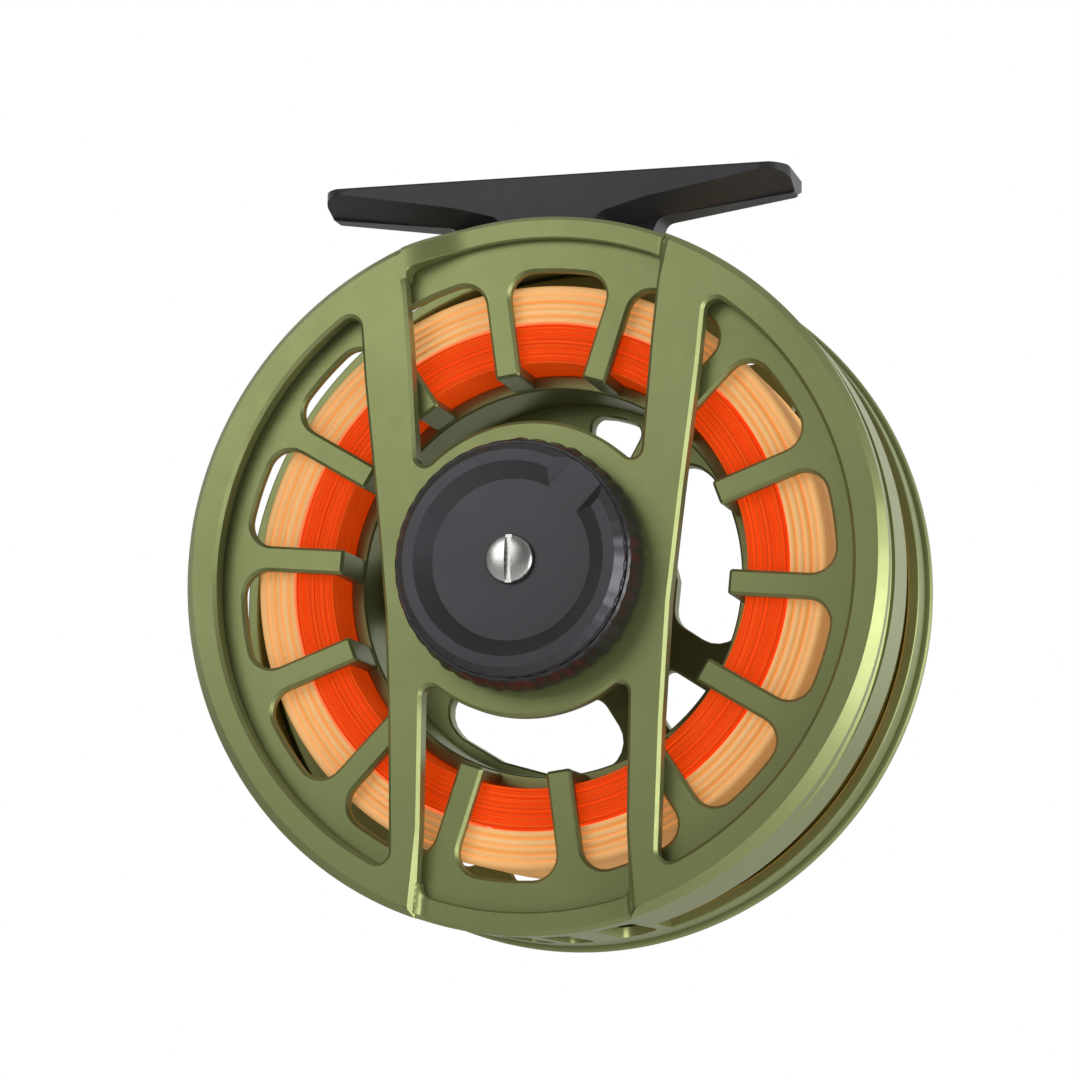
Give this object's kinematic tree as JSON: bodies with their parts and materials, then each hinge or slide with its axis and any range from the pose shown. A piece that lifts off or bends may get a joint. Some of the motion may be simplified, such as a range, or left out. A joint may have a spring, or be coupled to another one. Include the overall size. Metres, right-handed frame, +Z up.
{
  "type": "fly reel",
  "caption": "Large-arbor fly reel with a caged frame, ported spool, sealed disc drag with a rear knob, rod foot and wound line.",
  "frame": {"origin": "centre of the foot's flat top, where the rod's reel seat bears", "axes": "+Z up out of the foot, X along the foot and the rod, Y along the reel's axle with the drag knob towards -Y and the handle towards +Y"},
  "size_m": [0.0974, 0.0631, 0.1042],
  "materials": {
    "green_anodised": "satin olive anodising",
    "grey_anodised": "satin dark grey anodising",
    "black_anodised": "matt black anodising",
    "steel": "turned stainless steel",
    "seal_rubber": "smooth nitrile",
    "carbon": "woven carbon composite",
    "knob_grey": "satin grey anodising",
    "black_plastic": "semi-gloss black",
    "bronze": "turned bronze",
    "backing_orange": "braided backing line",
    "line_peach": "smooth coated fly line"
  },
  "bodies": {
    "frame_body": {"frame": "green_anodised", "reel_foot": "grey_anodised", "foot_screw_1": "steel", "foot_screw_2": "steel", "spindle": "steel", "spindle_nut": "steel", "spindle_screw": "steel", "drag_housing": "black_anodised", "housing_screw_1": "steel", "housing_screw_2": "steel", "housing_screw_3": "steel", "drag_cover": "black_anodised", "drag_seal": "seal_rubber", "friction_disc_1": "carbon", "friction_disc_2": "carbon"},
    "knob_body": {"drag_knob": "knob_grey", "knob_grip_ring": "black_plastic", "knob_screw": "steel", "cam_ring": "bronze"},
    "plate_body": {"push_ring": "steel", "push_pin_1": "steel", "push_pin_2": "steel", "push_pin_3": "steel", "spring_washer_1": "steel", "spring_washer_2": "steel", "pressure_plate": "steel"},
    "rotor_body": {"drag_rotor": "steel", "bearing_rear": "steel", "bearing_front": "steel"},
    "sleeve_body": {"clutch_sleeve": "bronze"},
    "spool_body": {"spool": "green_anodised", "one_way_clutch": "steel", "latch_ring": "steel", "spool_cap": "green_anodised", "backing_line": "backing_orange", "fly_line": "line_peach", "counterweight": "steel", "handle_screw": "steel"},
    "handle_body": {"handle_knob": "black_plastic", "handle_bush_1": "bronze", "handle_bush_2": "bronze"}
  },
  "joints": [
    {"name": "drag_knob_turn", "type": "hinge", "parent": "frame_body", "child": "knob_body", "pos_m": [0, -0.015, -0.0554], "axis": [0, 1, 0], "range_deg": [0, 320]},
    {"name": "pressure_plate_slide", "type": "slide", "parent": "frame_body", "child": "plate_body", "axis": [0, 1, 0], "range_m": [0, 0.0006]},
    {"name": "drag_slip", "type": "hinge", "parent": "frame_body", "child": "rotor_body", "pos_m": [0, -0.015, -0.0554], "axis": [0, 1, 0], "continuous": true},
    {"name": "spool_release", "type": "slide", "parent": "rotor_body", "child": "sleeve_body", "axis": [0, 1, 0], "range_m": [0, 0.045]},
    {"name": "spool_turn", "type": "hinge", "parent": "sleeve_body", "child": "spool_body", "pos_m": [0, -0.015, -0.0554], "axis": [0, 1, 0], "continuous": true},
    {"name": "handle_turn", "type": "hinge", "parent": "spool_body", "child": "handle_body", "pos_m": [0.02458, 0.03, -0.0291], "axis": [0, 1, 0], "continuous": true}
  ],
  "couplings": [
    {"joint": "pressure_plate_slide", "follows": "drag_knob_turn", "m_per_rad": 0.000107}
  ]
}
